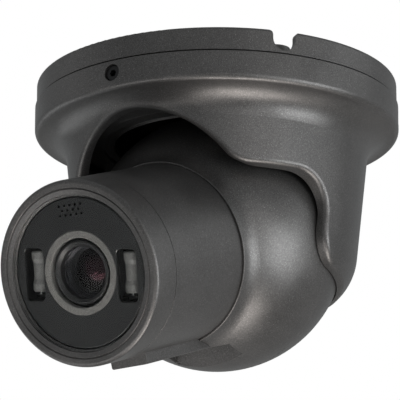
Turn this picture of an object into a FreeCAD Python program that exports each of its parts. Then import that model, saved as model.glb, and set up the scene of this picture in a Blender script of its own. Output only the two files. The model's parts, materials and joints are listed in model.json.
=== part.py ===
import FreeCAD, Part
import math
import os

# Turret dome camera for a ceiling.  Millimetres, +Z up.
# The origin is the middle of the ceiling plane, so everything hangs below Z = 0.
# At rest the camera barrel points along -Y in plan and looks REST_TILT degrees down.

# ---- driving dimensions -------------------------------------------------------------
BASE_R = 70.8            # outside of the mounting base
COVER_R = 71.4           # outside of the cover rim
BASE_H = 9.0             # ceiling plane to the bottom of the base's side wall
SEAM = 0.7               # seam between base and cover
RIM_Z = -21.0            # lowest level of the cover rim
BALL_Z = -64.0           # level of the ball's centre
BALL_R = 50.0            # outside of the ball
BARREL_R = 34.7          # outside of the barrel
BARREL_END = 85.2        # ball centre to the seam between barrel and front cap
FRONT = 98.2             # ball centre to the front of the cap
REST_TILT = 20.4         # barrel below horizontal at rest
REST_ROLL = 9.5          # camera module turned clockwise, seen from in front

# ---- smaller sizes that several pieces share ----------------------------------------
BASE_WALL = 3.0
BASE_FLOOR = 2.6
SPIGOT_R = 66.3          # ring of the base that the cover slides over
SPIGOT_H = 8.0
MOUNT_PCD = 100.0        # circle of the three ceiling screws
MOUNT_HOLE_R = 2.4
SET_SCREW_Z = -14.3
SEAT_GAP = 0.35          # between the ball and its seat in the cover
SHELL = 2.5              # wall of the ball
BALL_SPLIT = 2.5         # front and rear shells meet this far in front of the centre
BARREL_WALL = 3.0
NECK_OUT = 31.7          # threaded neck of the barrel, inside the front cap
NECK_IN = 29.7
RIB_HALF = 8.0           # rib along the underside of the barrel
RIB_DEPTH = 38.0
WINDOW_R = 29.0
FACE_FRONT = 95.7        # front of the black face plate
FACE_R = 28.0
PLATE_T = 1.6            # thickness of the face plate
FOAM_OUT = 15.8
FOAM_IN = 12.9
LENS_R = 11.8
LENS_CLEAR = 0.3         # running clearance of the two lens rings
SIDE_X = 20.3          # sideways place of each window and its cylinder
SIDE_DROP = -0.8
SCREW_FIT = 0.05

V = FreeCAD.Vector
ORIGIN = V(0, 0, 0)
X_AXIS = V(1, 0, 0)
Y_AXIS = V(0, 1, 0)
Z_AXIS = V(0, 0, 1)


# ---- helpers ------------------------------------------------------------------------
def arc(start, middle, end):
    """An arc through three points, as one edge."""
    return Part.Arc(start, middle, end).toShape()


def line(start, end):
    return Part.makeLine(start, end)


def box(x0, x1, y0, y1, z0, z1):
    return Part.makeBox(x1 - x0, y1 - y0, z1 - z0, V(x0, y0, z0))


def rod_z(radius, z0, z1, x=0.0, y=0.0):
    """A cylinder along Z between two levels."""
    return Part.makeCylinder(radius, abs(z1 - z0), V(x, y, min(z0, z1)), Z_AXIS)


def ring_z(r_out, r_in, z0, z1):
    return rod_z(r_out, z0, z1).cut(rod_z(r_in, min(z0, z1) - 1, max(z0, z1) + 1))


def rod(radius, l0, l1, x=0.0, z=0.0):
    """A cylinder along the barrel axis, from l0 to l1 in front of the ball's centre."""
    return Part.makeCylinder(radius, abs(l1 - l0), V(x, -min(l0, l1), z), V(0, -1, 0))


def ring(r_out, r_in, l0, l1):
    """A tube along the barrel axis."""
    low, high = min(l0, l1), max(l0, l1)
    return rod(r_out, low, high).cut(rod(r_in, low - 1, high + 1))


def lathe_z(edges):
    """Turn a closed outline of edges in the XZ plane about Z.  The seam is at the back."""
    turned_solid = Part.Face(Part.Wire(Part.__sortEdges__(edges))).revolve(ORIGIN, Z_AXIS, 360)
    return turned(turned_solid, Z_AXIS, 90)


def lathe(points):
    """Turn a closed outline of (distance in front, radius) points about the barrel axis."""
    corners = [V(r, -l, 0) for l, r in points]
    return Part.Face(Part.makePolygon(corners + corners[:1])).revolve(ORIGIN, Y_AXIS, 360)


def turned(shape, axis, degrees, centre=ORIGIN):
    copy = shape.copy()
    copy.rotate(centre, axis, degrees)
    return copy


def around_z(shape, angles):
    return [turned(shape, Z_AXIS, angle) for angle in angles]


def around_barrel(shape, angles):
    return [turned(shape, Y_AXIS, angle) for angle in angles]


def on_ball(shape):
    """Move a piece from the level barrel frame to its resting place on the ball."""
    placed = turned(shape, X_AXIS, REST_TILT)
    placed.translate(V(0, 0, BALL_Z))
    return placed


def on_module(shape):
    """The same for a piece of the camera module, which is rolled as well."""
    return on_ball(turned(shape, Y_AXIS, REST_ROLL))


def save(name, shapes):
    """Write one node.  A list is kept as separate solids."""
    if isinstance(shapes, list):
        shape = Part.makeCompound([s for piece in shapes for s in piece.Solids])
    else:
        solids = shapes.Solids
        shape = solids[0] if len(solids) == 1 else Part.makeCompound(solids)
    assert shape.isValid(), name
    shape.exportStep("parts/" + name + ".step")
    print(name, len(shape.Solids), round(shape.Volume / 1000, 2), "cm3")


def socket_screw(radius, length, head_r, head_h, drive_r):
    """A cap screw along +Z, under-head plane at Z = 0, with a hexagonal socket."""
    body = rod_z(head_r, 0, head_h).fuse(rod_z(radius, -length, 0)).removeSplitter()
    corners = [V(drive_r * math.cos(math.radians(60 * i)), drive_r * math.sin(math.radians(60 * i)),
                 head_h * 0.4) for i in range(7)]
    socket = Part.Face(Part.makePolygon(corners)).extrude(V(0, 0, head_h))
    return body.cut(socket)


# ---- base ---------------------------------------------------------------------------
NOTCH_AZ = 54.9          # cable notch, degrees from -Y towards +X
NOTCH_HALF = 4.5
NOTCH_DEPTH = 7.9
GROMMET_AZ = 140.0
GROMMET_PLACE = 38.0
GROMMET_HOLE = 9.0


def mounting_base():
    """Cup open to the ceiling, with a spigot below it for the cover."""
    floor_z = -BASE_H + BASE_FLOOR
    body = rod_z(BASE_R, -BASE_H, 0)
    top_edge = [e for e in body.Edges if abs(e.CenterOfMass.z) < 0.01]
    body = body.makeFillet(1.2, top_edge)
    body = body.cut(rod_z(BASE_R - BASE_WALL, floor_z, 1))
    body = body.fuse(ring_z(SPIGOT_R, SPIGOT_R - 3.2, -BASE_H, -BASE_H - SPIGOT_H))
    # groove that the three set screws press into
    body = body.cut(ring_z(SPIGOT_R + 1, SPIGOT_R - 0.9, SET_SCREW_Z + 2.6, SET_SCREW_Z - 2.6))
    for boss in around_z(rod_z(6.0, -BASE_H, 0, 0, -MOUNT_PCD / 2), (60, 180, 300)):
        body = body.fuse(boss)
    rib = box(-1.0, 1.0, -BASE_R + 1.5, -24.0, floor_z - 0.5, -4.2)
    for stiffener in around_z(rib, (0, 30, 90, 120, 210, 240, 270, 330)):
        body = body.fuse(stiffener)
    body = body.fuse(ring_z(25.0, 22.5, floor_z - 0.5, -4.2))
    for hole in around_z(rod_z(MOUNT_HOLE_R, -BASE_H - 1, 1, 0, -MOUNT_PCD / 2), (60, 180, 300)):
        body = body.cut(hole)
    grommet_hole = rod_z(GROMMET_HOLE, -BASE_H - 1, 1, 0, -GROMMET_PLACE)
    body = body.cut(turned(grommet_hole, Z_AXIS, GROMMET_AZ))
    return body.cut(turned(cable_notch_tool(), Z_AXIS, NOTCH_AZ)).removeSplitter()


def cable_notch_tool():
    """U-shaped slot in the side wall, flared where it meets the ceiling."""
    flare = 2.2
    near_y = -BASE_R - 2
    low = -NOTCH_DEPTH
    side = NOTCH_HALF
    diagonal = flare * (1 - math.sqrt(0.5))
    edges = []
    for sign in (-1, 1):
        top = V(sign * (side + flare), near_y, 0)
        bend = V(sign * (side + diagonal), near_y, -diagonal)
        straight = V(sign * side, near_y, -flare)
        edges.append(line(V(sign * (side + flare), near_y, 1), top))
        edges.append(arc(top, bend, straight))
        edges.append(line(straight, V(sign * side, near_y, low + side)))
    edges.append(arc(V(-side, near_y, low + side), V(0, near_y, low), V(side, near_y, low + side)))
    edges.append(line(V(-side - flare, near_y, 1), V(side + flare, near_y, 1)))
    outline = Part.Face(Part.Wire(Part.__sortEdges__(edges)))
    return outline.extrude(V(0, 2 + BASE_WALL + 1.5, 0))


def cable_grommet():
    """Rubber grommet that the cable would pass through."""
    floor_z = -BASE_H + BASE_FLOOR
    plug = rod_z(GROMMET_HOLE, -BASE_H, floor_z, 0, -GROMMET_PLACE)
    plug = plug.fuse(rod_z(GROMMET_HOLE + 1.6, floor_z, floor_z + 1.6, 0, -GROMMET_PLACE))
    plug = plug.fuse(rod_z(GROMMET_HOLE + 1.2, -BASE_H - 1.4, -BASE_H, 0, -GROMMET_PLACE))
    plug = plug.fuse(Part.makeCone(6.0, 4.4, 3.0, V(0, -GROMMET_PLACE, floor_z + 1.6), Z_AXIS))
    plug = plug.cut(rod_z(3.2, -BASE_H - 3, 1, 0, -GROMMET_PLACE))
    return turned(plug.removeSplitter(), Z_AXIS, GROMMET_AZ)


def cover_gasket():
    """Flat rubber ring in the seam between base and cover."""
    return ring_z(BASE_R - 1.0, SPIGOT_R + 0.1, -BASE_H - 0.4, -BASE_H)


# ---- cover --------------------------------------------------------------------------
COVER_TOP = -BASE_H - SEAM
RIM_FILLET = 2.2
COVE_R = 11.0
WALL_TOP_R = 58.8        # bowl under the cove
WALL_LOW = (54.4, -71.0) # radius and level where the bowl starts to round in
LIP_R = 47.2
LIP_Z = -85.0            # lowest level of the bowl
SEAT_TOP = -70.0         # the bowl bears on the ball between the lip and this level
ARCH_R = 38.4            # arch over the barrel, seen from in front
SHOULDER_Z = -48.4       # level of the two shoulders beside the arch
SIDE_Y = -6.8            # upright edges of the opening, this far in front of the centre
CORNER_R = 15.5          # curve from each shoulder down to the upright edge
FOOT_Z = -67.8           # where each upright edge starts to curve back
FOOT_R = 13.0            # that curve
FOOT_TURN = 81.0         # degrees it turns through
TAIL_Y = 34.0            # the opening's lower edge runs back to here
OPENING_ROUND = 2.0      # rounding of the opening's outer edge
OUTER_EDGES = 5          # edges of the cover's outline that make its outside
CLAMP_TOP = -22.6        # clamp's flange, above the arch
CLAMP_SEAT = -41.5       # lowest level of the clamp's skirt, which bears on the ball
CLAMP_HOLE_R = 40.0
SKIRT_GAP = 80.0         # the skirt is open this many degrees to each side of the barrel
PAD_PLACE = 52.3
PAD_TOP = -24.9          # pads of the cover that the clamp is screwed to
PAD_AZ = (110, 180, 250)
PAD_R = 3.0
CLAMP_SCREW_R = 1.25     # screw and threaded hole
SET_SCREW_R = 3.25
SET_SCREW_L = 4.0


def cove():
    """Centre of the hollow curve under the rim, and the angle where the wall leaves it."""
    centre_x = WALL_TOP_R + COVE_R
    centre_z = RIM_Z - math.sqrt(COVE_R ** 2 - (centre_x - COVER_R + RIM_FILLET) ** 2)
    span = V(WALL_LOW[0] - centre_x, 0, WALL_LOW[1] - centre_z)
    towards_wall = math.atan2(span.z, span.x) + 2 * math.pi
    return V(centre_x, 0, centre_z), towards_wall - math.acos(COVE_R / span.Length)


def cover_outline():
    """Half section of the cover, in the XZ plane."""
    def p(r, z):
        return V(r, 0, z)
    bend = RIM_FILLET * (1 - math.sqrt(0.5))
    rim_in = COVER_R - RIM_FILLET
    centre, end_angle = cove()
    start_angle = math.acos((rim_in - centre.x) / COVE_R)

    def on_cove(angle):
        return centre + V(COVE_R * math.cos(angle), 0, COVE_R * math.sin(angle))
    wall_top = on_cove(end_angle)
    seat_r = BALL_R + SEAT_GAP

    def seat(z):
        return p(math.sqrt(seat_r ** 2 - (z - BALL_Z) ** 2), z)
    outer = [line(p(COVER_R, COVER_TOP), p(COVER_R, RIM_Z + RIM_FILLET)),
             arc(p(COVER_R, RIM_Z + RIM_FILLET), p(COVER_R - bend, RIM_Z + bend), p(rim_in, RIM_Z)),
             arc(p(rim_in, RIM_Z), on_cove((start_angle + end_angle) / 2), wall_top),
             line(wall_top, p(*WALL_LOW)),
             arc(p(*WALL_LOW), bowl_middle(wall_top), p(LIP_R, LIP_Z))]
    inside = [(51.2, -62.0), (51.4, -46.0), (54.9, -32.0), (55.6, -26.5), (60.8, -19.6),
              (SPIGOT_R + 0.5, -17.8), (SPIGOT_R + 0.5, COVER_TOP), (COVER_R, COVER_TOP)]
    inner = [line(p(LIP_R, LIP_Z), seat(LIP_Z)),
             arc(seat(LIP_Z), seat((LIP_Z + SEAT_TOP) / 2), seat(SEAT_TOP)),
             line(seat(SEAT_TOP), p(*inside[0]))]
    for (r0, z0), (r1, z1) in zip(inside, inside[1:]):
        inner.append(line(p(r0, z0), p(r1, z1)))
    return outer + inner


def bowl_middle(wall_top):
    """Middle of the arc that leaves the straight wall smoothly and ends at the lip."""
    low = V(WALL_LOW[0], 0, WALL_LOW[1])
    wall = (low - wall_top).normalize()
    inward = V(wall.z, 0, -wall.x)
    span = V(LIP_R, 0, LIP_Z) - low
    radius = span.dot(span) / (2 * span.dot(inward))
    centre = low + inward * radius
    return centre + (low + span * 0.5 - centre).normalize() * radius


def opening_tool():
    """The opening that the barrel looks out of: an arch between two shoulders."""
    far, deep, wide = -90.0, -110.0, 90.0
    turn = math.radians(FOOT_TURN)
    slope = math.tan(math.pi / 2 - turn)

    def p(y, z):
        return V(-wide, y, z)
    corner_y = SIDE_Y - CORNER_R
    half = CORNER_R * math.sqrt(0.5)
    foot_y = SIDE_Y + FOOT_R
    foot_mid = p(foot_y - FOOT_R * math.cos(turn / 2), FOOT_Z - FOOT_R * math.sin(turn / 2))
    foot_end = p(foot_y - FOOT_R * math.cos(turn), FOOT_Z - FOOT_R * math.sin(turn))
    tail = p(TAIL_Y, foot_end.z - slope * (TAIL_Y - foot_end.y))
    edges = [line(p(far, SHOULDER_Z), p(corner_y, SHOULDER_Z)),
             arc(p(corner_y, SHOULDER_Z), p(corner_y + half, SHOULDER_Z - CORNER_R + half),
                 p(SIDE_Y, SHOULDER_Z - CORNER_R)),
             line(p(SIDE_Y, SHOULDER_Z - CORNER_R), p(SIDE_Y, FOOT_Z)),
             arc(p(SIDE_Y, FOOT_Z), foot_mid, foot_end),
             line(foot_end, tail),
             line(tail, p(TAIL_Y, deep)),
             line(p(TAIL_Y, deep), p(far, deep)),
             line(p(far, deep), p(far, SHOULDER_Z))]
    sides = Part.Face(Part.Wire(Part.__sortEdges__(edges))).extrude(V(2 * wide, 0, 0))
    return sides.fuse(arch_tool(far)).removeSplitter()


def arch_tool(far):
    """Arch seen from in front, with a round flare where it runs into each shoulder."""
    flare = 9.0
    rise = SHOULDER_Z + flare - BALL_Z
    flare_x = math.sqrt((ARCH_R + flare) ** 2 - rise ** 2)
    share = ARCH_R / (ARCH_R + flare)
    floor_z = SHOULDER_Z - 1.0

    def p(px, pz):
        return V(px, far, pz)
    edges = []
    for sign in (-1, 1):
        meet = p(sign * flare_x * share, BALL_Z + rise * share)
        angle = math.atan2(rise, flare_x)
        between = (math.pi + angle + 3 * math.pi / 2) / 2
        middle = p(sign * (flare_x + flare * math.cos(between)),
                   SHOULDER_Z + flare + flare * math.sin(between))
        end = p(sign * flare_x, SHOULDER_Z)
        edges.append(arc(meet, middle, end))
        edges.append(line(end, p(sign * flare_x, floor_z)))
        if sign > 0:
            edges.append(arc(p(-meet.x, meet.z), p(0, BALL_Z + ARCH_R), meet))
    edges.append(line(p(-flare_x, floor_z), p(flare_x, floor_z)))
    return Part.Face(Part.Wire(Part.__sortEdges__(edges))).extrude(V(0, -far - 20.0, 0))


def around_axis(points):
    """True for points that all lie at one distance from the Z axis."""
    reach = [math.hypot(q.x, q.y) for q in points]
    return max(reach) - min(reach) < 0.001


def opening_edges(body, outline):
    """Edges of the opening that lie on the surface turned from these outline edges."""
    section = Part.Wire(Part.__sortEdges__(outline))
    picked = []
    for edge in body.Edges:
        span = edge.LastParameter - edge.FirstParameter
        points = [edge.valueAt(edge.FirstParameter + span * t) for t in (0.02, 0.3, 0.5, 0.7, 0.98)]
        level = max(q.z for q in points) - min(q.z for q in points) < 0.001
        seam = all(abs(q.x) < 0.001 for q in points)
        away = max(section.distToShape(Part.Vertex(math.hypot(q.x, q.y), 0, q.z))[0] for q in points)
        if away < 0.02 and not seam and not (level and around_axis(points)):
            picked.append(edge)
    return picked


def cover_shell():
    """Rim, cove and bowl with the rounded opening."""
    body = lathe_z(cover_outline())
    pad = rod_z(PAD_R, PAD_TOP, -50.0, 0, -PAD_PLACE)
    pads = [p.cut(Part.makeSphere(BALL_R + 0.6, V(0, 0, BALL_Z))) for p in around_z(pad, PAD_AZ)]
    body = body.cut(opening_tool())
    body = body.makeFillet(OPENING_ROUND, opening_edges(body, cover_outline()[:OUTER_EDGES]))
    body = body.fuse(pads).removeSplitter()
    for hole in around_z(rod_z(CLAMP_SCREW_R, CLAMP_TOP, -38.0, 0, -PAD_PLACE), PAD_AZ):
        body = body.cut(hole)
    screw_hole = Part.makeCylinder(SET_SCREW_R + 0.05, 6.0, V(0, -COVER_R - 1, SET_SCREW_Z), Y_AXIS)
    for hole in around_z(screw_hole, (0, 120, 240)):
        body = body.cut(hole)
    return body


def rim_set_screws():
    """Three hexagon socket set screws that lock the cover to the base."""
    tip_y = -SPIGOT_R - 0.1
    head_y = tip_y - SET_SCREW_L
    drive_r = 1.45
    body = Part.makeCylinder(SET_SCREW_R, SET_SCREW_L, V(0, head_y, SET_SCREW_Z), Y_AXIS)
    chamfered = [e for e in body.Edges if e.isClosed()]
    body = body.makeChamfer(0.4, chamfered)
    corners = [V(drive_r * math.cos(math.radians(60 * i)), head_y - 0.1,
                 SET_SCREW_Z + drive_r * math.sin(math.radians(60 * i))) for i in range(7)]
    body = body.cut(Part.Face(Part.makePolygon(corners)).extrude(V(0, 2.4, 0)))
    dog_point = Part.makeCylinder(1.8, 0.8, V(0, tip_y - 0.1, SET_SCREW_Z), Y_AXIS)
    return around_z(body.fuse(dog_point).removeSplitter(), (0, 120, 240))


def ball_clamp():
    """Flanged ring over the ball.  Its skirt bears on the ball and is open over the barrel."""
    flange = [(55.0, CLAMP_TOP), (55.0, -24.2), (44.8, -25.4), (44.3, -24.2), (41.0, -24.2),
              (40.7, -25.1), (CLAMP_HOLE_R, -24.9), (CLAMP_HOLE_R, CLAMP_TOP)]
    edges = [line(V(r0, 0, z0), V(r1, 0, z1)) for (r0, z0), (r1, z1) in zip(flange, flange[1:] + flange[:1])]
    skirt = ring_z(48.8, 44.6, CLAMP_SEAT, -24.0).cut(Part.makeSphere(BALL_R + SEAT_GAP, V(0, 0, BALL_Z)))
    reach, half_gap = 400.0, math.radians(SKIRT_GAP)
    side = reach * math.sin(half_gap)
    front = -reach * math.cos(half_gap)
    wedge = Part.Face(Part.makePolygon([ORIGIN, V(-side, front, 0), V(side, front, 0), ORIGIN]))
    gap = wedge.extrude(V(0, 0, -CLAMP_SEAT))
    gap.translate(V(0, 0, CLAMP_SEAT - 10.0))
    gap = gap.common(box(-reach, reach, -reach, 0, CLAMP_SEAT - 10.0, -25.0))
    body = lathe_z(edges).fuse(skirt.cut(gap))
    for hole in around_z(rod_z(1.6, CLAMP_SEAT, CLAMP_TOP + 1, 0, -PAD_PLACE), PAD_AZ):
        body = body.cut(hole)
    return body.removeSplitter()


def clamp_screws():
    screw = socket_screw(CLAMP_SCREW_R - SCREW_FIT, 10.0, 2.2, 2.0, 1.0)
    screw.translate(V(0, -PAD_PLACE, CLAMP_TOP))
    return around_z(screw, PAD_AZ)


# ---- ball ---------------------------------------------------------------------------
BOSS_PLACE = 40.6
BOSS_R = 4.6
BALL_SCREW_R = 1.3           # ball and barrel screws, and their threaded holes
BALL_SCREW_CLEAR = 1.6
WIRE_MOUTH_R = 9.0
WIRE_MOUTH_TILT = 32.0
BOSS_AZ = (90, 210, 330)     # turned about the barrel axis from straight up
FLANGE_L = (14.0, 17.0)
FLANGE_R = 41.5
FLANGE_SCREW_PLACE = 38.2
FLANGE_SCREW_AZ = (45, 135, 225, 315)
NOTCH_X = 14.7               # notch in the ball under the barrel
NOTCH_L = 22.2
NOTCH_STEP_L = 20.5
NOTCH_STEP_Z = -42.3


def half_ball(radius, front):
    cut_box = box(-80, 80, -BALL_SPLIT, 80, -80, 80) if front else box(-80, 80, -80, -BALL_SPLIT, -80, 80)
    return Part.makeSphere(radius).cut(cut_box)


def neck():
    """Collar that the barrel comes out of, with a hollow curve down to the ball."""
    def p(l, r):
        return V(r, -l, 0)
    start = p(31.9, math.sqrt(BALL_R ** 2 - 31.9 ** 2))
    edges = [arc(start, p(34.95, 36.65), p(38.2, 35.7)),
             arc(p(38.2, 35.7), p(38.6, 35.45), p(38.5, 35.05)),
             line(p(38.5, 35.05), p(38.3, BARREL_R - 1)),
             line(p(38.3, BARREL_R - 1), p(26.0, BARREL_R - 1)),
             line(p(26.0, BARREL_R - 1), p(26.0, 40.0)),
             line(p(26.0, 40.0), start)]
    return Part.Face(Part.Wire(Part.__sortEdges__(edges))).revolve(ORIGIN, Y_AXIS, 360)


def ball_front_shell():
    body = half_ball(BALL_R, True).cut(Part.makeSphere(BALL_R - SHELL))
    body = body.fuse(neck())
    inside = Part.makeSphere(BALL_R - 0.2)
    block = box(-NOTCH_X - 2, NOTCH_X + 2, -60, -NOTCH_STEP_L + 2, -60, -RIB_DEPTH + 2)
    body = body.fuse(block.common(inside))
    for boss in around_barrel(rod(BOSS_R, BALL_SPLIT, 24.0, 0, BOSS_PLACE), BOSS_AZ):
        body = body.fuse(boss.common(inside))
    for boss in around_barrel(rod(3.6, FLANGE_L[1], 34.0, 0, FLANGE_SCREW_PLACE), FLANGE_SCREW_AZ):
        body = body.fuse(boss.common(inside))
    body = body.cut(rod(BARREL_R + SCREW_FIT, 0, 60))
    body = body.cut(box(-RIB_HALF - 0.1, RIB_HALF + 0.1, -60, -NOTCH_STEP_L, -RIB_DEPTH - 0.1, -20))
    notch = box(-NOTCH_X, NOTCH_X, -60, -NOTCH_L, -60, -RIB_DEPTH)
    step = box(-NOTCH_X, NOTCH_X, -60, -NOTCH_STEP_L, -60, NOTCH_STEP_Z)
    body = body.cut(notch).cut(step)
    for hole in around_barrel(rod(BALL_SCREW_R, BALL_SPLIT - 1, 10.5, 0, BOSS_PLACE), BOSS_AZ):
        body = body.cut(hole)
    for hole in around_barrel(rod(BALL_SCREW_R, FLANGE_L[1] - 1, 25.5, 0, FLANGE_SCREW_PLACE), FLANGE_SCREW_AZ):
        body = body.cut(hole)
    groove = lathe([(BALL_SPLIT - 1, BALL_R - 0.35), (BALL_SPLIT + 0.35, BALL_R + 1), (BALL_SPLIT - 1, BALL_R + 1)])
    return body.cut(groove).removeSplitter()


def ball_rear_shell():
    body = half_ball(BALL_R, False).cut(Part.makeSphere(BALL_R - SHELL))
    inside = Part.makeSphere(BALL_R - 0.2)
    for boss in around_barrel(rod(BOSS_R, -30.0, BALL_SPLIT, 0, BOSS_PLACE), BOSS_AZ):
        body = body.fuse(boss.common(inside))
    for well in around_barrel(rod(3.2, -40.0, -2.0, 0, BOSS_PLACE), BOSS_AZ):
        body = body.cut(well)
    for hole in around_barrel(rod(BALL_SCREW_CLEAR, -3.0, BALL_SPLIT + 1, 0, BOSS_PLACE), BOSS_AZ):
        body = body.cut(hole)
    # mouth for the wiring, high on the back of the ball
    mouth = turned(rod_z(WIRE_MOUTH_R, 30, 60), X_AXIS, -WIRE_MOUTH_TILT)
    return body.cut(mouth).removeSplitter()


def ball_screws():
    screw = socket_screw(BALL_SCREW_R - SCREW_FIT, 11.0, 2.6, 2.4, 1.2)
    screw = turned(screw, X_AXIS, -90)
    screw.translate(V(0, 2.0, BOSS_PLACE))
    return around_barrel(screw, BOSS_AZ)


# ---- barrel -------------------------------------------------------------------------
def barrel_housing():
    """Tube with the rib along its underside, a rear flange and a threaded neck."""
    inner = BARREL_R - BARREL_WALL
    body = rod(BARREL_R, FLANGE_L[0], BARREL_END - 0.15)
    body = body.fuse(rod(FLANGE_R, *FLANGE_L))
    rib = box(-RIB_HALF, RIB_HALF, -76.2, -NOTCH_L - 0.1, -RIB_DEPTH, -20)
    long_edges = [e for e in rib.Edges if abs(e.CenterOfMass.z + RIB_DEPTH) < 0.01
                  and abs(e.CenterOfMass.x) > RIB_HALF - 0.01]
    rib = rib.makeFillet(0.8, long_edges)
    body = body.fuse(rib)
    body = body.fuse(rod(NECK_OUT - 0.2, BARREL_END - 3, 92.6))
    body = body.cut(rod(inner, FLANGE_L[0] - 1, 80.0))
    body = body.cut(rod(NECK_IN, 79.0, 94.0))
    for hole in around_barrel(rod(BALL_SCREW_CLEAR, 13.0, 18.0, 0, FLANGE_SCREW_PLACE), FLANGE_SCREW_AZ):
        body = body.cut(hole)
    for clearance in around_barrel(rod(5.2, 13.0, 18.0, 0, BOSS_PLACE), BOSS_AZ):
        body = body.cut(clearance)
    groove = ring(BARREL_R + 1, BARREL_R - 0.3, BARREL_END - 0.35, BARREL_END)
    oring_seat = ring(NECK_OUT + 1, NECK_OUT - 1.3, 86.6, 88.4)
    return body.cut(groove).cut(oring_seat).removeSplitter()


def barrel_screws():
    screw = socket_screw(BALL_SCREW_R - SCREW_FIT, 11.0, 2.6, 2.2, 1.2)
    screw = turned(screw, X_AXIS, -90)
    screw.translate(V(0, -FLANGE_L[0], FLANGE_SCREW_PLACE))
    return around_barrel(screw, FLANGE_SCREW_AZ)


def front_cap():
    """Screw-on bezel: round nose, fine groove and a sloping band down to the window."""
    def p(l, r):
        return V(r, -l, 0)
    nose = 1.5
    bend = nose * (1 - math.sqrt(0.5))
    corner = p(FRONT - nose, BARREL_R)
    front_in = p(FRONT, BARREL_R - nose)
    edges = [line(p(BARREL_END, BARREL_R), corner),
             arc(corner, p(FRONT - bend, BARREL_R - bend), front_in),
             line(front_in, p(FRONT - 0.1, 31.7)),
             line(p(FRONT - 0.1, 31.7), p(FRONT - 0.6, 31.35)),
             line(p(FRONT - 0.6, 31.35), p(FRONT - 0.15, 31.0)),
             line(p(FRONT - 0.15, 31.0), p(FRONT - 0.55, WINDOW_R + 0.15)),
             line(p(FRONT - 0.55, WINDOW_R + 0.15), p(FACE_FRONT + 0.1, WINDOW_R + 0.15)),
             line(p(FACE_FRONT + 0.1, WINDOW_R + 0.15), p(FACE_FRONT + 0.1, FACE_R + 0.3)),
             line(p(FACE_FRONT + 0.1, FACE_R + 0.3), p(92.9, FACE_R + 0.3)),
             line(p(92.9, FACE_R + 0.3), p(92.9, NECK_OUT)),
             line(p(92.9, NECK_OUT), p(BARREL_END, NECK_OUT)),
             line(p(BARREL_END, NECK_OUT), p(BARREL_END, BARREL_R))]
    return Part.Face(Part.Wire(Part.__sortEdges__(edges))).revolve(ORIGIN, Y_AXIS, 360)


def front_window():
    body = rod(WINDOW_R, FACE_FRONT + 0.15, FACE_FRONT + 1.75)
    return body.makeChamfer(0.3, [e for e in body.Edges if e.isClosed()])


def cap_oring():
    return Part.makeTorus(NECK_OUT - 0.65, 0.6, V(0, -87.5, 0), Y_AXIS)


def window_gasket():
    return ring(NECK_OUT - 0.3, FACE_R + 0.6, 92.62, 92.88)


# ---- camera module (turns inside the barrel) ----------------------------------------
TUBE_OUT = 29.3
TUBE_IN = 27.3
DISC_L = (70.0, 72.0)


def side_places():
    return [(-SIDE_X, SIDE_DROP), (SIDE_X, SIDE_DROP)]


def face_plate():
    """Black plate with the lens hole, two windows and a patch of fine holes."""
    back = FACE_FRONT - PLATE_T
    body = rod(FACE_R, back, FACE_FRONT)
    body = body.cut(rod(FOAM_OUT, back - 1, FACE_FRONT + 1))
    rim = [e for e in body.Edges if e.isClosed() and abs(e.CenterOfMass.y + FACE_FRONT) < 0.01
           and e.Length > 2 * math.pi * (FACE_R - 1)]
    body = body.makeFillet(0.6, rim)
    for x, z in side_places():
        window = box(x - 4.1, x + 4.1, -FACE_FRONT - 1, -back + 1, z - 9.7, z + 9.7)
        corners = [e for e in window.Edges if abs(e.tangentAt(e.FirstParameter).y) > 0.9]
        body = body.cut(window.makeFillet(1.8, corners))
    edges = [e for e in body.Edges if abs(e.CenterOfMass.y + FACE_FRONT) < 0.01
             and SIDE_X - 6 < abs(e.CenterOfMass.x) < SIDE_X + 6]
    body = body.makeChamfer(0.3, edges)
    pitch, row = 1.9, 1.75
    for row_index, count in enumerate((5, 4, 5)):
        for i in range(count):
            x = (i - (count - 1) / 2) * pitch * 1.25
            z = 23.4 + (1 - row_index) * row
            hole = rod(0.5, back - 1, FACE_FRONT + 1, x, z)
            body = body.cut(turned(hole, Y_AXIS, -7.0))
    return body


def lens_foam_ring():
    return ring(FOAM_OUT - 0.05, FOAM_IN, FACE_FRONT - 3.0, FACE_FRONT + 0.05)


def module_frame():
    """Drum that carries the face plate, lens and boards, and turns in the barrel."""
    body = rod(TUBE_OUT, DISC_L[0], 92.3)
    body = body.fuse(rod(FACE_R, 92.0, FACE_FRONT - PLATE_T))
    body = body.fuse(rod(31.2, 76.0, 78.5))
    body = body.cut(rod(TUBE_IN, DISC_L[1], 99.0))
    body = body.cut(rod(12.6, 60, 99))
    for x, z in side_places():
        body = body.cut(box(x - 3.0, x + 3.0, -DISC_L[1] - 1, -DISC_L[0] + 1, z - 4.0, z + 4.0))
    return body.removeSplitter()


def module_retainer():
    """Snap ring in the barrel behind the drum's flange."""
    body = ring(BARREL_R - BARREL_WALL, TUBE_OUT + 0.4, 73.0, 75.6)
    gap = box(-3, 3, -77, -72, 25, 35)
    return body.cut(gap)


CYLINDER_R = 3.85
CYLINDER_HALF = 7.6
CYLINDER_L = FACE_FRONT - 5.55   # axis of each cylinder, behind the face plate
CYLINDER_UP = 0.9                # cylinder stands on its pins, this much above the window's middle
PIN_H = 1.3


def window_cylinder(side):
    """Waisted cylinder behind one window."""
    end, waist = CYLINDER_R, CYLINDER_R - 0.5
    tall = CYLINDER_HALF
    profile = [(0, -tall), (end - 0.35, -tall), (end, -tall + 0.6), (end, -4.6), (waist, -3.0),
               (waist, 3.0), (end, 4.6), (end, tall - 0.6), (end - 0.35, tall), (0, tall)]
    corners = [V(r, 0, z) for r, z in profile]
    body = Part.Face(Part.makePolygon(corners + corners[:1])).revolve(ORIGIN, Z_AXIS, 360)
    body.translate(V(side * SIDE_X, -CYLINDER_L, SIDE_DROP + CYLINDER_UP))
    return body


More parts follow.
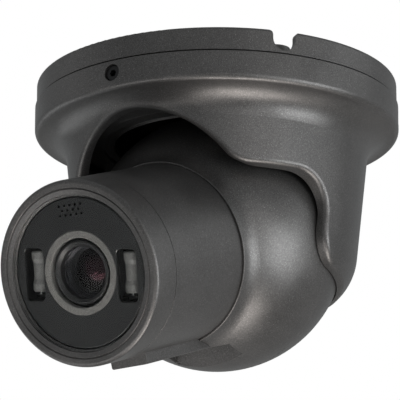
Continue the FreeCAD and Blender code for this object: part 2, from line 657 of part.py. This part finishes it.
def cylinder_holder(side):
    """Tray that stands on the drum's disc, with a shelf under the pins and a stop on top."""
    x, z = side * SIDE_X, SIDE_DROP + CYLINDER_UP
    top = CYLINDER_L - CYLINDER_R - 0.15
    shelf = z - CYLINDER_HALF - PIN_H
    stop = z + CYLINDER_HALF + 0.1
    body = box(x - 3.6, x + 3.6, -top, -DISC_L[1], shelf - 1.0, stop + 1.0)
    for low in (shelf - 1.0, stop):
        body = body.fuse(box(x - 3.0, x + 3.0, -top - 4.5, -top, low, low + 1.0))
    body = body.cut(box(x - 2.2, x + 2.2, -top + 2.0, -DISC_L[1] - 2, z - 7.5, z + 7.5))
    return body.removeSplitter()


def cylinder_pins():
    pins = []
    foot = SIDE_DROP + CYLINDER_UP - CYLINDER_HALF - PIN_H
    for x, _ in side_places():
        for dx in (-1.3, 1.3):
            pins.append(Part.makeCylinder(0.35, PIN_H, V(x + dx, -CYLINDER_L, foot), Z_AXIS))
    return pins


def lens_tube():
    body = rod(LENS_R, 62.0, 93.0)
    body = body.fuse(rod(14.4, 80.3, 81.7))
    body = body.fuse(rod(12.5, 62.0, 72.6))
    body = body.cut(rod(9.9, 84.0, 94.0))
    body = body.cut(rod(7.5, 60.0, 84.5))
    return body.removeSplitter()


def lens_front_ring():
    return lathe([(93.0, LENS_R), (94.6, LENS_R), (95.0, LENS_R - 0.4), (95.0, 11.0),
                  (93.9, 9.9), (93.0, 9.9)])


def lens_front_element():
    """Meniscus with its bulge towards the front."""
    edge_r, bulge_r = 9.85, 19.0
    centre = 94.3 - bulge_r
    body = rod(edge_r, 88.0, 96.0).common(Part.makeSphere(bulge_r, V(0, -centre, 0)))
    return body.cut(rod(20.0, 80.0, 88.6))


def lens_rear_element():
    body = rod(7.45, 64.0, 70.0)
    return body.common(Part.makeSphere(14.0, V(0, -79.0, 0)))


def lens_iris():
    return ring(9.85, 4.2, 84.1, 85.0)


def grip_ring(l0, l1):
    """One knurled ring of the varifocal lens."""
    body = ring(16.2, LENS_R + LENS_CLEAR, l0, l1)
    flutes = 30
    flute = rod(0.55, l0 - 1, l1 + 1, 0, 16.4)
    for i in range(flutes):
        body = body.cut(turned(flute, Y_AXIS, 360.0 * i / flutes + 6))
    return body


def lock_screw(l_middle, angle):
    """Thumb screw that locks a lens ring."""
    y = -l_middle
    body = Part.makeCylinder(1.0, 5.5, V(0, y, 14.0), Z_AXIS)
    body = body.fuse(Part.makeCylinder(2.2, 3.4, V(0, y, 18.6), Z_AXIS))
    slot = box(-0.35, 0.35, y - 3, y + 3, 21.2, 23.0)
    return turned(body.cut(slot).removeSplitter(), Y_AXIS, angle)


def threaded_for_screw(grip, screw_l, angle):
    hole = Part.makeCylinder(1.0 + SCREW_FIT, 5.0, V(0, -screw_l, 13.5), Z_AXIS)
    return grip.cut(turned(hole, Y_AXIS, angle))


ZOOM_L = (82.3, 87.9)
FOCUS_L = (73.4, 79.9)
ZOOM_SCREW = (85.1, 180.0)
FOCUS_SCREW = (76.6, 0.0)


def sensor_holder():
    """Plastic block between the lens and the sensor board."""
    body = box(-14, 14, -62.0, -54.0, -14, 14)
    body = body.fuse(rod(17.5, 62.0, DISC_L[0]))
    body = body.cut(rod(12.55, 61.9, 71.0))
    body = body.cut(box(-7, 7, -63, -53, -7, 7))
    body = body.cut(box(-8.5, 8.5, -60.6, -59.3, -8.5, 20))
    return body.removeSplitter()


def ir_filter():
    return box(-8.4, 8.4, -60.5, -59.4, -8.4, 8.4)


BOARD_HALF = 19.0
BOARD_HOLES = 16.4


def board(l0, l1):
    body = box(-BOARD_HALF, BOARD_HALF, -l1, -l0, -BOARD_HALF, BOARD_HALF)
    corners = [e for e in body.Edges if abs(e.tangentAt(e.FirstParameter).y) > 0.9]
    body = body.makeFillet(1.5, corners)
    for x in (-BOARD_HOLES, BOARD_HOLES):
        for z in (-BOARD_HOLES, BOARD_HOLES):
            body = body.cut(rod(1.15, l0 - 1, l1 + 1, x, z))
    return body


def four(piece_at):
    return [piece_at(x, z) for x in (-BOARD_HOLES, BOARD_HOLES) for z in (-BOARD_HOLES, BOARD_HOLES)]


def board_spacers():
    def spacer(x, z):
        return rod(2.0, 44.0, 52.4, x, z).cut(rod(1.15, 43.0, 53.0, x, z))
    return four(spacer)


def holder_posts():
    """Posts that stand on the drum's disc and carry both boards."""
    def post(x, z):
        return rod(2.4, 54.0, DISC_L[0], x, z).cut(rod(1.0, 53.0, 64.0, x, z))
    return four(post)


def board_screws():
    def screw(x, z):
        body = socket_screw(1.0 - SCREW_FIT, 18.0, 1.9, 1.5, 0.9)
        body = turned(body, X_AXIS, -90)
        body.translate(V(x, -42.4, z))
        return body
    return four(screw)


def image_sensor():
    body = box(-6.5, 6.5, -55.6, -54.0, -5.5, 5.5)
    return body.cut(box(-4.5, 4.5, -56.0, -55.2, -3.6, 3.6))


def chips():
    """Packages on the back of the main board."""
    places = ((-7, 6, 6.0, 6.0, 1.6), (8, -8, 4.0, 5.0, 1.4), (-10, -9, 3.0, 3.0, 2.2))
    return [box(x - w, x + w, -42.4, -42.4 + t, z - h, z + h) for x, z, w, h, t in places]


def wire_header():
    """Connector for the wiring, on the main board."""
    body = box(-6.5, 6.5, -42.4, -36.4, 12.4, 17.6)
    return body.cut(box(-5.5, 5.5, -39.4, -35.0, 13.4, 16.6))


JOYSTICK = (10.5, 7.5)


def joystick_body():
    x, z = JOYSTICK
    return box(x - 3.5, x + 3.5, -42.4, -38.6, z - 3.5, z + 3.5).cut(rod(1.8, 38.0, 40.6, x, z))


def joystick_button():
    """Setting stick of the on-screen menu; it also pushes in."""
    x, z = JOYSTICK
    body = rod(1.45, 34.4, 39.9, x, z).fuse(rod(2.3, 33.2, 35.4, x, z)).removeSplitter()
    rim = [e for e in body.Edges if e.isClosed() and abs(e.CenterOfMass.y + 33.2) < 0.01]
    return body.makeFillet(0.5, rim)


# ---- write every node ---------------------------------------------------------------
def main():
    os.makedirs("parts", exist_ok=True)

    save("mounting_base", mounting_base())
    save("cable_grommet", cable_grommet())
    save("cover_gasket", cover_gasket())

    save("cover_shell", cover_shell())
    save("rim_set_screws", rim_set_screws())
    save("ball_clamp", ball_clamp())
    save("clamp_screws", clamp_screws())

    for name, make in (("ball_front_shell", ball_front_shell), ("ball_rear_shell", ball_rear_shell),
                       ("barrel_housing", barrel_housing), ("front_cap", front_cap),
                       ("front_window", front_window), ("cap_oring", cap_oring),
                       ("window_gasket", window_gasket), ("module_retainer", module_retainer)):
        save(name, on_ball(make()))
    save("ball_screws", [on_ball(s) for s in ball_screws()])
    save("barrel_screws", [on_ball(s) for s in barrel_screws()])

    for name, make in (("face_plate", face_plate), ("lens_foam_ring", lens_foam_ring),
                       ("module_frame", module_frame), ("lens_tube", lens_tube),
                       ("lens_front_ring", lens_front_ring), ("lens_front_element", lens_front_element),
                       ("lens_rear_element", lens_rear_element), ("lens_iris", lens_iris),
                       ("sensor_holder", sensor_holder), ("ir_filter", ir_filter),
                       ("image_sensor", image_sensor), ("wire_header", wire_header),
                       ("joystick_body", joystick_body), ("joystick_button", joystick_button)):
        save(name, on_module(make()))
    for side, word in ((-1, "left"), (1, "right")):
        save("window_cylinder_" + word, on_module(window_cylinder(side)))
        save("cylinder_holder_" + word, on_module(cylinder_holder(side)))
    save("cylinder_pins", [on_module(s) for s in cylinder_pins()])
    save("sensor_board", on_module(board(52.4, 54.0)))
    save("main_board", on_module(board(42.4, 44.0)))
    for name, pieces in (("board_spacers", board_spacers()), ("holder_posts", holder_posts()),
                         ("board_screws", board_screws()), ("board_chips", chips())):
        save(name, [on_module(s) for s in pieces])

    save("zoom_ring", on_module(threaded_for_screw(grip_ring(*ZOOM_L), *ZOOM_SCREW)))
    save("zoom_lock_screw", on_module(lock_screw(*ZOOM_SCREW)))
    save("focus_ring", on_module(threaded_for_screw(grip_ring(*FOCUS_L), *FOCUS_SCREW)))
    save("focus_lock_screw", on_module(lock_screw(*FOCUS_SCREW)))


main()
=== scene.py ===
import json
import math

import bmesh
import bpy
from mathutils import Matrix, Vector, noise


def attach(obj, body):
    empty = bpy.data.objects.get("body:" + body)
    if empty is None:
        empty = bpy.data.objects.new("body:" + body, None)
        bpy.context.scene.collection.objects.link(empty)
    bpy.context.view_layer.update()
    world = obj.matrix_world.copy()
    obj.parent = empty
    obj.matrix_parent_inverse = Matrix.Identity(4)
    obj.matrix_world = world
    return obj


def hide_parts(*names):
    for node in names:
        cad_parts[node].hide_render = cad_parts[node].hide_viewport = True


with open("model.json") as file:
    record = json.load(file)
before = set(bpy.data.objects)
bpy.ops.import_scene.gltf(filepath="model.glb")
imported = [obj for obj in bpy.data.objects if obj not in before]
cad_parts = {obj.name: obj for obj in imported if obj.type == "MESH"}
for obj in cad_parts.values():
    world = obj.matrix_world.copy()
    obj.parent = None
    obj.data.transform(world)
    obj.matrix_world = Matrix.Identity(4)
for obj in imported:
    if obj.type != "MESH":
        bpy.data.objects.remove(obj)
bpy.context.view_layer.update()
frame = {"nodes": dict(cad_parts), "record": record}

# Row frame: metres, +Z up, origin in the middle of the ceiling face.
MM = 0.001
BALL_CENTRE = Vector((0.0, 0.0, -0.064))
REST_TILT = math.radians(20.4)
REST_ROLL = math.radians(9.5)
# The camera module's own frame at rest: the barrel's axis is its Y axis, and the lens looks along -Y.
MODULE = (Matrix.Translation(BALL_CENTRE) @ Matrix.Rotation(REST_TILT, 4, "X")
          @ Matrix.Rotation(REST_ROLL, 4, "Y"))


# ---- camera and studio ----------------------------------------------------------------
SENSOR_WIDTH = 36.0
FOCAL_LENGTH = 313.6
CLIP_NEAR, CLIP_FAR = 0.01, 60.0
CAMERA_SPOT = (0.7219, -1.0812, -0.4500)
CAMERA_TURN = math.radians(34.02)      # to the left of +Y
CAMERA_RISE = math.radians(17.25)      # above level
FORWARD = Vector((-math.sin(CAMERA_TURN) * math.cos(CAMERA_RISE),
                  math.cos(CAMERA_TURN) * math.cos(CAMERA_RISE), math.sin(CAMERA_RISE)))
RIGHT = Vector((math.cos(CAMERA_TURN), math.sin(CAMERA_TURN), 0.0))
UP = RIGHT.cross(FORWARD)

WORLD_FILL = 0.32
LAMP_REACH = 1.2                       # from the ball to each lamp
LAMP_SIZE = 0.7                        # side of each square lamp
WARM, NEUTRAL, COOL = (1.0, 0.94, 0.89), (1.0, 0.99, 0.98), (0.96, 0.99, 1.0)
# name, direction from the ball (ahead as the camera looks, right, up), power in watts, colour
LAMPS = (("key_below", (-0.45, 0.22, -0.87), 8.6, WARM),
         ("side_right", (-0.50, 0.86, -0.10), 7.2, COOL),
         ("rim_left", (0.37, -0.70, -0.61), 1.6, COOL),
         ("fill_left", (0.10, -1.00, 0.15), 0.4, NEUTRAL),
         ("front_wash", (-1.00, 0.35, 0.25), 1.0, NEUTRAL),
         ("rim_right", (0.10, 0.95, 0.35), 0.9, COOL),
         ("front_left", (-0.65, -0.75, -0.65), 2.0, NEUTRAL),
         ("front_below", (-0.90, -0.30, -0.75), 2.0, WARM),
         ("front_right", (-0.90, 0.75, 0.30), 1.2, NEUTRAL))
FLOOR_LEVEL = -2.4
FLOOR_HALF = 9.0


def add_camera():
    data = bpy.data.cameras.new("studio_camera")
    data.sensor_width = SENSOR_WIDTH
    data.lens = FOCAL_LENGTH
    data.clip_start, data.clip_end = CLIP_NEAR, CLIP_FAR
    camera = bpy.data.objects.new("studio_camera", data)
    camera.location = CAMERA_SPOT
    camera.rotation_mode = "QUATERNION"
    camera.rotation_quaternion = FORWARD.to_track_quat("-Z", "Y")
    bpy.context.scene.collection.objects.link(camera)
    bpy.context.scene.camera = camera


def softbox(name, offset, power, colour):
    """An area light at an offset from the ball, aimed at it."""
    data = bpy.data.lights.new(name, "AREA")
    data.shape = "SQUARE"
    data.size = LAMP_SIZE
    data.energy = power
    data.color = colour
    lamp = bpy.data.objects.new(name, data)
    lamp.location = BALL_CENTRE + offset
    lamp.rotation_mode = "QUATERNION"
    lamp.rotation_quaternion = (-offset).to_track_quat("-Z", "Y")
    lamp.visible_camera = False
    bpy.context.scene.collection.objects.link(lamp)


def add_world():
    """Even studio fill; the camera itself sees a plain white backdrop."""
    world = bpy.data.worlds.new("studio_world")
    world.use_nodes = True
    tree = world.node_tree
    tree.nodes.clear()
    out = tree.nodes.new("ShaderNodeOutputWorld")
    mix = tree.nodes.new("ShaderNodeMixShader")
    path = tree.nodes.new("ShaderNodeLightPath")
    fill = tree.nodes.new("ShaderNodeBackground")
    seen = tree.nodes.new("ShaderNodeBackground")
    fill.inputs["Color"].default_value = (*COOL, 1.0)
    fill.inputs["Strength"].default_value = WORLD_FILL
    seen.inputs["Color"].default_value = (1.0, 1.0, 1.0, 1.0)
    tree.links.new(path.outputs["Is Camera Ray"], mix.inputs["Fac"])
    tree.links.new(fill.outputs[0], mix.inputs[1])
    tree.links.new(seen.outputs[0], mix.inputs[2])
    tree.links.new(mix.outputs[0], out.inputs["Surface"])
    bpy.context.scene.world = world


def add_studio():
    add_world()
    for name, (ahead, across, above), power, colour in LAMPS:
        way = (FORWARD * ahead + RIGHT * across + UP * above).normalized()
        softbox(name, way * LAMP_REACH, power, colour)
    bpy.context.scene.view_settings.view_transform = "Standard"

    mesh = bpy.data.meshes.new("studio_floor")
    corners = [(x * FLOOR_HALF, y * FLOOR_HALF, FLOOR_LEVEL)
               for x, y in ((-1, -1), (1, -1), (1, 1), (-1, 1))]
    mesh.from_pydata(corners, [], [(0, 1, 2, 3)])
    floor = bpy.data.objects.new("studio_floor", mesh)
    bpy.context.scene.collection.objects.link(floor)
    mesh.materials.append(surface("studio_floor", (0.82, 0.82, 0.81), 0.75, grain=60.0, contrast=0.04))


# ---- materials ------------------------------------------------------------------------
# Noise scales are in grains to the metre; every other number here is a share or a factor.
GRAIN_ROUGHNESS = 0.6
FINE_DETAIL, BROAD_DETAIL, FLECK_DETAIL, BUMP_DETAIL = 2.0, 3.0, 1.0, 3.0
BROAD_COARSER = 60.0                   # the broad grain is this many times coarser than the fine one
BROAD_SHARE = 0.3                      # of the colour's unevenness
TONE_LOW, TONE_HIGH = 0.36, 0.64       # the noise values that give the darkest and the lightest colour
ROUGH_LOW, ROUGH_HIGH = 0.3, 0.7       # and the smoothest and the roughest place
FLECK_FINER = 1.7
FLECK_LOW, FLECK_HIGH = 0.66, 0.72     # only the peaks of the noise are flecks
FLECK_GAIN, FLECK_LIFT = 4.0, 0.1
BUMP_DEPTH = 0.0002                    # metres
EDGE_SAMPLES = 4
COAT_ROUGHNESS = 0.1


def surface(name, colour, rough, metallic=0.0, grain=1500.0, contrast=0.2, bump=0.0, bump_grain=None,
            rough_spread=0.06, edge=0.0, fleck=0.0, coat=0.0, specular=None, ior=1.5):
    """A procedural material: fine grain in colour and roughness, bump, flecks and softened edges."""
    mat = bpy.data.materials.new(name)
    mat.use_nodes = True
    tree = mat.node_tree
    shader = tree.nodes["Principled BSDF"]

    def add(kind, **values):
        """A node with its settings and its inputs' values, both given by name."""
        node = tree.nodes.new("ShaderNode" + kind)
        for key, value in values.items():
            if hasattr(node, key):
                setattr(node, key, value)
            else:
                node.inputs[key].default_value = value
        return node

    def link(a, b):
        tree.links.new(a, b)

    place = add("TexCoord").outputs["Object"]

    def grains(scale, detail):
        node = add("TexNoise", Scale=scale, Detail=detail, Roughness=GRAIN_ROUGHNESS)
        link(place, node.inputs["Vector"])
        return node.outputs["Fac"]

    def spread(source, low, high, a, b):
        """The source's range from low to high, stretched to a to b."""
        node = add("MapRange")
        for socket, value in (("From Min", low), ("From Max", high), ("To Min", a), ("To Max", b)):
            node.inputs[socket].default_value = value
        link(source, node.inputs["Value"])
        return node.outputs["Result"]

    fine = grains(grain, FINE_DETAIL)
    broad = grains(grain / BROAD_COARSER, BROAD_DETAIL)
    dark = tuple(c * (1.0 - contrast) for c in colour)
    light = tuple(min(c * (1.0 + contrast), 1.0) for c in colour)
    tone = add("Mix", data_type="FLOAT")
    tone.inputs["Factor"].default_value = BROAD_SHARE
    link(fine, tone.inputs["A"])
    link(broad, tone.inputs["B"])
    colour_mix = add("Mix", data_type="RGBA")
    link(spread(tone.outputs["Result"], TONE_LOW, TONE_HIGH, 0.0, 1.0), colour_mix.inputs["Factor"])
    colour_mix.inputs["A"].default_value = (*dark, 1.0)
    colour_mix.inputs["B"].default_value = (*light, 1.0)
    paint = colour_mix.outputs["Result"]
    if fleck:
        spots = spread(grains(grain * FLECK_FINER, FLECK_DETAIL), FLECK_LOW, FLECK_HIGH, 0.0, fleck)
        bright = add("Mix", data_type="RGBA")
        link(spots, bright.inputs["Factor"])
        link(paint, bright.inputs["A"])
        shine = [min(c * FLECK_GAIN + FLECK_LIFT, 1.0) for c in colour]
        bright.inputs["B"].default_value = (*shine, 1.0)
        paint = bright.outputs["Result"]
    link(paint, shader.inputs["Base Color"])
    shader.inputs["Metallic"].default_value = metallic
    shader.inputs["IOR"].default_value = ior
    link(spread(broad, ROUGH_LOW, ROUGH_HIGH, rough - rough_spread, rough + rough_spread),
         shader.inputs["Roughness"])
    if specular:
        shader.inputs["Specular Tint"].default_value = (*specular, 1.0)
    if coat:
        shader.inputs["Coat Weight"].default_value = coat
        shader.inputs["Coat Roughness"].default_value = COAT_ROUGHNESS
    normal = None
    if edge:
        rounded = add("Bevel", samples=EDGE_SAMPLES)
        rounded.inputs["Radius"].default_value = edge
        normal = rounded.outputs["Normal"]
    if bump:
        relief = add("Bump")
        relief.inputs["Strength"].default_value = bump
        relief.inputs["Distance"].default_value = BUMP_DEPTH
        link(grains(bump_grain or grain, BUMP_DETAIL), relief.inputs["Height"])
        if normal:
            link(normal, relief.inputs["Normal"])
        normal = relief.outputs["Normal"]
    if normal:
        link(normal, shader.inputs["Normal"])
    return mat


def clear(name, tint, ior=1.5):
    """Glass or clear plastic that lets light from the lamps through."""
    mat = surface(name, tint, 0.0, grain=400.0, contrast=0.02, rough_spread=0.0, ior=ior)
    tree = mat.node_tree
    shader = tree.nodes["Principled BSDF"]
    shader.inputs["Transmission Weight"].default_value = 1.0
    out = tree.nodes["Material Output"]
    mix = tree.nodes.new("ShaderNodeMixShader")
    path = tree.nodes.new("ShaderNodeLightPath")
    through = tree.nodes.new("ShaderNodeBsdfTransparent")
    through.inputs["Color"].default_value = (*tint, 1.0)
    tree.links.new(path.outputs["Is Shadow Ray"], mix.inputs["Fac"])
    tree.links.new(shader.outputs[0], mix.inputs[1])
    tree.links.new(through.outputs[0], mix.inputs[2])
    tree.links.new(mix.outputs[0], out.inputs["Surface"])
    return mat


def make_materials():
    """One material for each slot of the record."""
    return {
        "housing_paint": surface("powder_coat", (0.106, 0.103, 0.102), 0.38, metallic=0.74, grain=2300.0,
                                 contrast=0.28, bump=0.16, bump_grain=1700.0, edge=0.0003, fleck=0.5),
        "black_rubber": surface("black_rubber", (0.018, 0.018, 0.018), 0.7, grain=900.0, bump=0.2),
        "black_screws": surface("blackened_steel", (0.03, 0.03, 0.031), 0.36, metallic=0.8, grain=2500.0,
                                bump=0.08, edge=0.0001),
        "steel_screws": surface("zinc_steel", (0.5, 0.5, 0.49), 0.33, metallic=1.0, grain=2500.0,
                                bump=0.08),
        "white_plastic": surface("natural_plastic", (0.6, 0.6, 0.58), 0.5, grain=1200.0, contrast=0.05,
                                 bump=0.1),
        "window_clear": clear("window_clear", (0.97, 0.98, 0.98), ior=1.2),
        "face_black": surface("face_black", (0.0055, 0.0055, 0.0058), 0.3, grain=3200.0, contrast=0.15,
                              rough_spread=0.02, edge=0.0002),
        "foam_grey": surface("foam_grey", (0.12, 0.117, 0.112), 0.92, grain=2600.0, contrast=0.35,
                             bump=0.9, bump_grain=2200.0),
        "dark_plastic": surface("dark_plastic", (0.016, 0.016, 0.016), 0.5, bump=0.1),
        "cylinder_grey": surface("cylinder_grey", (0.105, 0.105, 0.102), 0.42, grain=900.0, bump=0.12),
        "pin_silver": surface("tinned_metal", (0.72, 0.72, 0.7), 0.18, metallic=1.0, grain=3000.0,
                              contrast=0.08),
        "lens_black": surface("lens_black", (0.012, 0.012, 0.0125), 0.38, grain=2200.0, bump=0.1,
                              edge=0.00012),
        "lens_glass": clear("lens_glass", (0.80, 0.80, 0.84), ior=1.18),
        "filter_glass": clear("filter_glass", (0.75, 0.9, 0.92)),
        "sensor_face": surface("sensor_face", (0.04, 0.05, 0.06), 0.2, metallic=0.4, grain=4000.0),
        "board_green": surface("board_green", (0.012, 0.085, 0.035), 0.35, grain=700.0, contrast=0.35,
                               bump=0.1, coat=0.4),
        "joystick_steel": surface("turned_steel", (0.48, 0.48, 0.47), 0.28, metallic=1.0, grain=2600.0),
    }


# ---- pieces modelled here -------------------------------------------------------------
# Their outlines are (distance, radius) in mm: distance from the ball's centre along the barrel's axis.
FOAM_BACK, FOAM_FRONT = 92.75, 95.78
FOAM_INNER, FOAM_OUTER = 12.95, 15.72
FOAM_CORNER = 0.35
BAFFLE_OUTLINE = ((86.2, 9.85), (86.2, 9.2), (86.9, 9.2), (86.9, 8.6), (87.5, 8.6), (87.5, 9.0),
                  (88.1, 9.0), (88.1, 9.5), (88.5, 9.5), (88.5, 9.85))
RIPPLE_FINER, RIPPLE_FINER_SHARE = 2.7, 0.5
CORNER_STEPS, ALONG_STEPS, ACROSS_STEPS = 4, 14, 10
DOME_STEPS = 14
WELD = 1e-7                            # metres


def turned_piece(name, outline, material, sides=160, ripple=0.0, ripple_size=1.0):
    """A piece of the camera module, turned about the barrel's axis from a closed outline.

    The ripple, in mm, moves the outline's points away from its middle or towards it.
    """
    def spot(distance, radius, turn):
        return Vector((radius * math.cos(turn), -distance, radius * math.sin(turn)))

    middle = Vector((sum(l for l, _ in outline), sum(r for _, r in outline))) / len(outline)
    shape = bmesh.new()
    loops = []
    for step in range(sides):
        turn = 2 * math.pi * step / sides
        loop = []
        for distance, radius in outline:
            if ripple:
                still = spot(distance, radius, turn)
                push = (ripple * noise.noise(still / ripple_size)
                        + RIPPLE_FINER_SHARE * ripple * noise.noise(still * RIPPLE_FINER / ripple_size))
                point = Vector((distance, radius))
                distance, radius = point + (point - middle).normalized() * push
            loop.append(shape.verts.new(MODULE @ (spot(distance, radius, turn) * MM)))
        loops.append(loop)
    for step in range(sides):
        here, there = loops[step], loops[(step + 1) % sides]
        for i in range(len(outline)):
            j = (i + 1) % len(outline)
            shape.faces.new((here[i], here[j], there[j], there[i]))
    bmesh.ops.remove_doubles(shape, verts=shape.verts, dist=WELD)
    bmesh.ops.recalc_face_normals(shape, faces=shape.faces)
    mesh = bpy.data.meshes.new(name)
    shape.to_mesh(mesh)
    shape.free()
    mesh.shade_smooth()
    mesh.materials.append(material)
    piece = bpy.data.objects.new(name, mesh)
    bpy.context.scene.collection.objects.link(piece)
    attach(piece, "module")
    return piece


def rounded_section(l0, l1, r0, r1, corner):
    """Points round a rectangle with soft corners, in (distance, radius)."""
    centres = ((l1 - corner, r1 - corner), (l0 + corner, r1 - corner),
               (l0 + corner, r0 + corner), (l1 - corner, r0 + corner))
    arcs = [[(cl + corner * math.cos(math.pi / 2 * (quarter + t / CORNER_STEPS)),
              cr + corner * math.sin(math.pi / 2 * (quarter + t / CORNER_STEPS)))
             for t in range(CORNER_STEPS + 1)]
            for quarter, (cl, cr) in enumerate(centres)]
    points = []
    for number, arc in enumerate(arcs):
        start, end = arc[-1], arcs[(number + 1) % 4][0]
        steps = ALONG_STEPS if number % 2 == 0 else ACROSS_STEPS
        points.extend(arc)
        for i in range(1, steps):
            t = i / steps
            points.append((start[0] + (end[0] - start[0]) * t, start[1] + (end[1] - start[1]) * t))
    return points


def dome(front, edge_radius, bulge, back):
    """Section of a lens element: a front that bulges with this radius, a straight edge and a flat back."""
    radii = [edge_radius * t / DOME_STEPS for t in range(DOME_STEPS + 1)]
    points = [(front - bulge + math.sqrt(bulge ** 2 - radius ** 2), radius) for radius in radii]
    return points + [(back, edge_radius), (back, 0.0)]


def add_foam_ring(materials):
    """Open-cell foam between the lens and the face plate, pressed a little uneven."""
    section = rounded_section(FOAM_BACK, FOAM_FRONT, FOAM_INNER, FOAM_OUTER, FOAM_CORNER)
    ring = turned_piece("foam_ring_soft", section, materials["foam_grey"], sides=420,
                        ripple=0.11, ripple_size=0.7)
    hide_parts("lens_foam_ring")


def add_lens_interior(materials):
    """What shows through the front element: a stepped baffle and one coated element."""
    coated = surface("coated_element", (0.006, 0.003, 0.004), 0.018, grain=500.0, contrast=0.1,
                     rough_spread=0.004, specular=(1.0, 0.45, 0.5))
    turned_piece("lens_baffle", BAFFLE_OUTLINE, materials["lens_black"])
    element = dome(front=88.2, edge_radius=7.6, bulge=8.6, back=85.3)
    turned_piece("lens_second_element", element, coated, sides=120)


def dress_cad_nodes(materials):
    """Each node from the CAD gets the material of its slot."""
    slots = {row["node"]: row["material_slot"] for row in frame["record"]["subparts"]}
    for name, node in frame["nodes"].items():
        node.data.materials.clear()
        node.data.materials.append(materials[slots[name]])


add_camera()
materials = make_materials()
add_studio()
dress_cad_nodes(materials)
add_foam_ring(materials)
add_lens_interior(materials)
